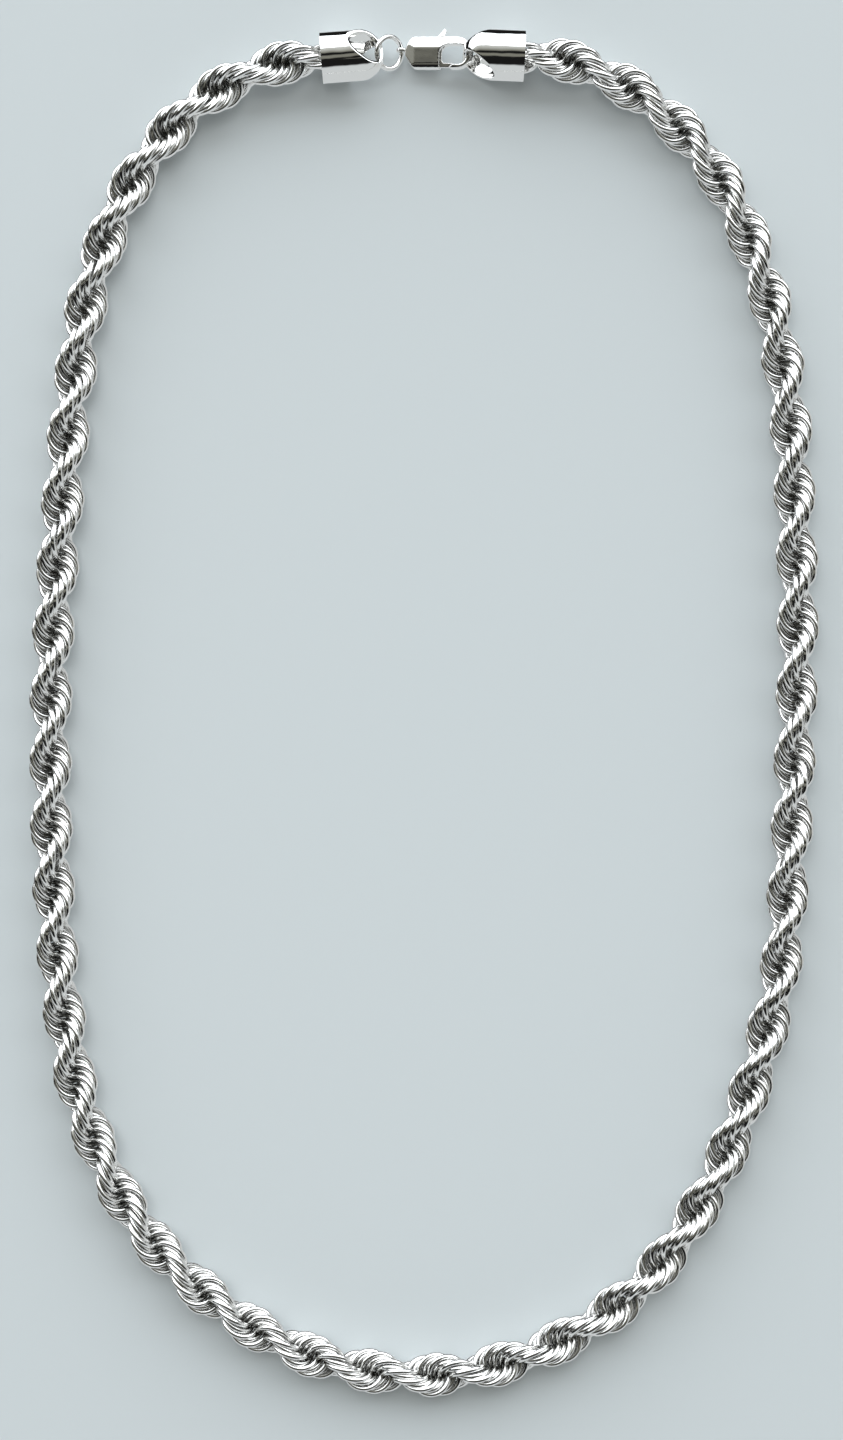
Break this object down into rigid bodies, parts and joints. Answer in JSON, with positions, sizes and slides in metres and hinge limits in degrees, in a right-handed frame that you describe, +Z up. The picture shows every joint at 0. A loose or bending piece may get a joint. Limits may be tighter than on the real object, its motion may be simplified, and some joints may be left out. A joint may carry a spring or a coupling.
{
  "type": "rope chain necklace",
  "caption": "Thick twisted rope chain necklace lying as a closed loop, with domed end caps, a jump ring and a lobster claw clasp.",
  "frame": {"origin": "middle of the necklace's outline in plan, on the surface it lies on", "axes": "+X to the right, +Y towards the clasp, +Z up from the surface"},
  "size_m": [0.1502, 0.26, 0.0094],
  "materials": {
    "rope_silver": "polished silver wire, close-wound and bright",
    "cap_silver": "polished sheet silver with a mirror shine",
    "wire_silver": "polished silver wire",
    "clasp_silver": "polished cast silver with bevelled edges"
  },
  "bodies": {
    "necklace": {"rope_chain_left": "rope_silver", "rope_chain_right": "rope_silver", "end_cap_left": "cap_silver", "end_cap_right": "cap_silver", "jump_ring": "wire_silver", "clasp_body": "clasp_silver", "clasp_pin": "wire_silver"},
    "lever": {"clasp_lever": "clasp_silver"}
  },
  "joints": [
    {"name": "lever_hinge", "type": "hinge", "parent": "necklace", "child": "lever", "pos_m": [0.00222, 0.12372, 0.00281], "axis": [-0.195, -0.0945, 0.9762], "range_deg": [0, 28], "stiffness_Nm_per_rad": 0.002, "springref_deg": -11.46}
  ]
}
